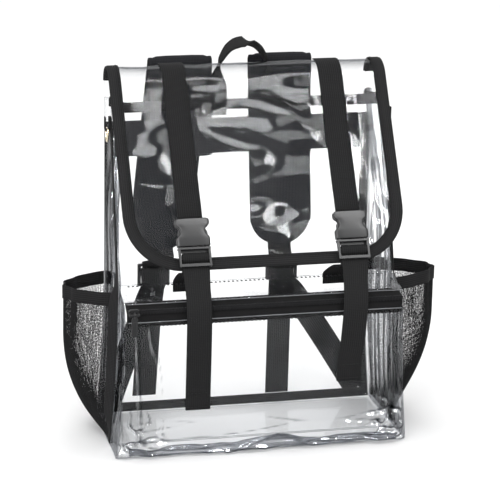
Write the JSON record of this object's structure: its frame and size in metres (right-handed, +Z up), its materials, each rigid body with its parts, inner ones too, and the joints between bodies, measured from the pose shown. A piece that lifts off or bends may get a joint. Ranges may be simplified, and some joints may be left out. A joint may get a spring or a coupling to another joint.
{
  "type": "clear pvc backpack",
  "caption": "Clear PVC backpack with a buckled flap, zipped front pocket, net side pockets, grab handle and padded shoulder straps, standing on its base.",
  "frame": {"origin": "centre of the bounding box in plan, on the floor that the bag stands on", "axes": "+Z up, +Y towards the back and its shoulder straps, +X to the viewer's right from the front"},
  "size_m": [0.3898, 0.187, 0.393],
  "materials": {
    "clear_pvc": "clear gloss",
    "seam_tape": "woven tape",
    "webbing": "ribbed webbing",
    "padded_strap": "woven cloth",
    "net": "knitted net",
    "zip": "coil zip",
    "buckle_plastic": "satin",
    "brass_ring": "pale polished"
  },
  "bodies": {
    "bag": {"adjuster_left": "buckle_plastic", "adjuster_right": "buckle_plastic", "anchor_webbing_left": "webbing", "anchor_webbing_right": "webbing", "back_panel": "clear_pvc", "bottom_panel": "clear_pvc", "buckle_plug_left": "buckle_plastic", "buckle_plug_right": "buckle_plastic", "buckle_socket_left": "buckle_plastic", "buckle_socket_right": "buckle_plastic", "flap": "clear_pvc", "flap_binding": "seam_tape", "flap_strap_left": "webbing", "flap_strap_right": "webbing", "front_binding_left": "seam_tape", "front_binding_right": "seam_tape", "front_panel": "clear_pvc", "grab_handle": "webbing", "lower_strap_left": "webbing", "lower_strap_right": "webbing", "mesh_band_left": "webbing", "mesh_band_right": "webbing", "mesh_pocket_left": "net", "mesh_pocket_right": "net", "pocket_bottom": "clear_pvc", "pocket_front": "clear_pvc", "pocket_side_left": "clear_pvc", "pocket_side_right": "clear_pvc", "pocket_top": "clear_pvc", "rear_binding": "seam_tape", "rim_binding_front": "seam_tape", "rim_binding_left": "seam_tape", "rim_binding_right": "seam_tape", "ring_tab_left": "webbing", "ring_tab_right": "webbing", "shoulder_strap_left": "padded_strap", "shoulder_strap_right": "padded_strap", "side_panel_left": "clear_pvc", "side_panel_right": "clear_pvc", "side_ring_left": "brass_ring", "side_ring_right": "brass_ring", "yoke": "seam_tape", "zip_coil": "zip", "zip_slider": "buckle_plastic", "zip_tape_lower": "zip", "zip_tape_upper": "zip"},
    "puller": {"zip_puller": "buckle_plastic"}
  },
  "joints": [
    {"name": "puller_swing", "type": "hinge", "parent": "bag", "child": "puller", "pos_m": [-0.1374, -0.0907, 0.151], "axis": [-1, 0, 0], "range_deg": [0, 200]}
  ]
}
